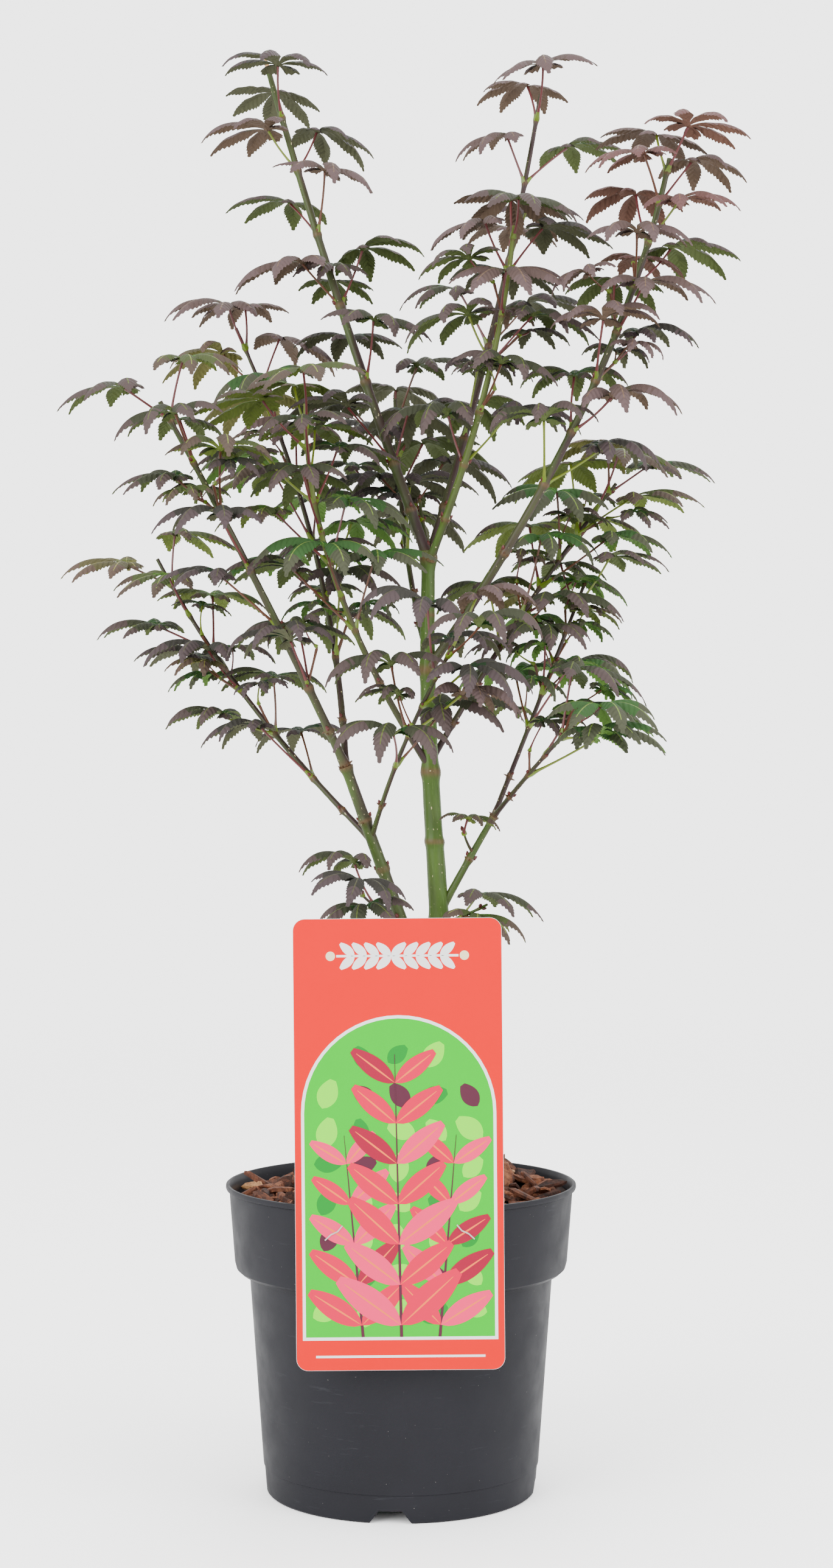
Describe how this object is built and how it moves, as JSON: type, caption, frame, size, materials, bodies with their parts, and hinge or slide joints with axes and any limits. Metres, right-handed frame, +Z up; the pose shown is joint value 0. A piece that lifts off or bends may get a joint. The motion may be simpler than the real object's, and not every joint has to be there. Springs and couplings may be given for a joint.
{
  "type": "potted japanese maple",
  "caption": "Young grafted japanese maple with several open leaders and deeply cut dark leaves, in a round plastic nursery pot with bark mulch and a hooked plain plant label.",
  "frame": {"origin": "centre of the pot's flat underside", "axes": "+Z up along the pot's axis, -Y towards the side where the label hangs, +X to the right of it"},
  "size_m": [0.379, 0.2921, 0.7855],
  "materials": {
    "pot_plastic": "satin",
    "bark_mulch": "matte",
    "label_print": "gloss",
    "label_clip": "satin",
    "trunk_bark": "satin",
    "bough_bark": "satin",
    "foliage": "satin"
  },
  "bodies": {
    "root": {"pot": "pot_plastic", "mulch": "bark_mulch", "label_card": "label_print", "label_hook": "label_clip", "trunk": "trunk_bark", "left_fork_bough": "bough_bark", "low_right_bough": "bough_bark", "left_leader_bough": "bough_bark", "centre_leader_bough": "bough_bark", "front_leader_bough": "bough_bark", "right_leader_bough": "bough_bark", "right_side_bough": "bough_bark", "middle_left_bough": "bough_bark", "back_leader_bough": "bough_bark", "left_front_bough": "bough_bark", "left_back_bough": "bough_bark", "left_side_bough": "bough_bark", "left_inner_bough": "bough_bark", "low_right_back_bough": "bough_bark", "low_right_front_bough": "bough_bark", "left_leader_foliage": "foliage", "centre_leader_foliage": "foliage", "front_leader_foliage": "foliage", "right_leader_foliage": "foliage", "right_side_foliage": "foliage", "middle_left_foliage": "foliage", "back_leader_foliage": "foliage", "left_front_foliage": "foliage", "left_back_foliage": "foliage", "left_side_foliage": "foliage", "left_inner_foliage": "foliage", "low_right_back_foliage": "foliage", "low_right_front_foliage": "foliage", "base_left_foliage": "foliage", "base_right_foliage": "foliage", "fork_tuft_foliage": "foliage", "low_spur_foliage": "foliage"}
  },
  "joints": []
}
